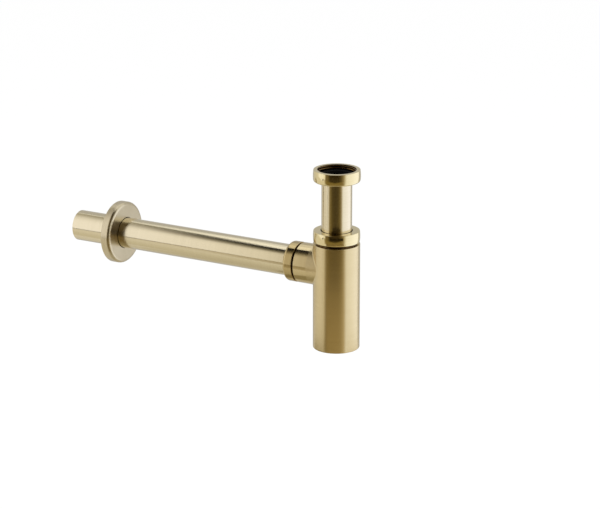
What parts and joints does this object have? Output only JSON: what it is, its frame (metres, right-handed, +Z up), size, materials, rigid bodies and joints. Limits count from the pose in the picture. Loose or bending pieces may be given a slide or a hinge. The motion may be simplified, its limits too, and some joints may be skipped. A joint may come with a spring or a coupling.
{
  "type": "bottle trap",
  "caption": "Brushed brass bottle trap for a wash basin, with a union nut on its inlet tube, a side branch, a long wall tube and a sliding cover flange.",
  "frame": {"origin": "centre of the union nut's mouth, where the basin waste enters", "axes": "+Z up along the inlet tube, -X along the wall tube towards the wall; XZ is the mirror plane"},
  "size_m": [0.3471, 0.0674, 0.193],
  "materials": {
    "brass_brushed": "brushed",
    "brass_polished": "polished",
    "seal_rubber": "matte",
    "slip_plastic": "matte"
  },
  "bodies": {
    "inlet": {"inlet_tube": "brass_brushed", "inlet_flat_washer": "seal_rubber"},
    "union_nut": {"inlet_union_nut": "brass_polished"},
    "top_seal": {"top_cone_seal": "seal_rubber"},
    "bottle": {"bottle_body": "brass_brushed", "outlet_cone_seal": "seal_rubber"},
    "top_ring": {"top_slip_ring": "slip_plastic"},
    "top_nut": {"bottle_top_nut": "brass_polished"},
    "outlet_ring": {"outlet_slip_ring": "slip_plastic"},
    "outlet_nut": {"outlet_nut": "brass_brushed"},
    "wall_tube": {"wall_tube": "brass_brushed"},
    "flange": {"wall_flange": "brass_brushed", "flange_o_ring": "seal_rubber"},
    "plug_ring": {"plug_o_ring": "seal_rubber"},
    "plug": {"cleaning_plug": "brass_brushed"}
  },
  "joints": [
    {"name": "union_nut_turn", "type": "hinge", "parent": "inlet", "child": "union_nut", "pos_m": [0, 0, -0.006], "axis": [0, 0, 1], "continuous": true},
    {"name": "bottle_height", "type": "slide", "parent": "inlet", "child": "top_seal", "axis": [0, 0, 1], "range_m": [-0.02, 0.006]},
    {"name": "bottle_swivel", "type": "hinge", "parent": "top_seal", "child": "bottle", "pos_m": [0, 0, -0.072], "axis": [0, 0, 1], "continuous": true},
    {"name": "top_nut_rise", "type": "slide", "parent": "bottle", "child": "top_ring", "axis": [0, 0, 1], "range_m": [0, 0.006]},
    {"name": "top_nut_turn", "type": "hinge", "parent": "top_ring", "child": "top_nut", "pos_m": [0, 0, -0.072], "axis": [0, 0, 1], "range_deg": [0, 1440]},
    {"name": "outlet_nut_travel", "type": "slide", "parent": "bottle", "child": "outlet_ring", "axis": [-1, 0, 0], "range_m": [0, 0.006]},
    {"name": "outlet_nut_turn", "type": "hinge", "parent": "outlet_ring", "child": "outlet_nut", "pos_m": [-0.0485, 0, -0.1063], "axis": [-1, 0, 0], "range_deg": [0, 1440]},
    {"name": "wall_tube_slide", "type": "slide", "parent": "bottle", "child": "wall_tube", "axis": [-1, 0, 0], "range_m": [-0.0027, 0.01]},
    {"name": "flange_slide", "type": "slide", "parent": "wall_tube", "child": "flange", "axis": [1, 0, 0], "range_m": [-0.045, 0.19]},
    {"name": "plug_drop", "type": "slide", "parent": "bottle", "child": "plug_ring", "axis": [0, 0, -1], "range_m": [0, 0.006]},
    {"name": "plug_turn", "type": "hinge", "parent": "plug_ring", "child": "plug", "pos_m": [0, 0, -0.188], "axis": [0, 0, -1], "range_deg": [0, 1440]}
  ],
  "couplings": [
    {"joint": "top_nut_rise", "follows": "top_nut_turn", "m_per_rad": 0.0002387},
    {"joint": "outlet_nut_travel", "follows": "outlet_nut_turn", "m_per_rad": 0.0002387},
    {"joint": "plug_drop", "follows": "plug_turn", "m_per_rad": 0.0002387}
  ]
}
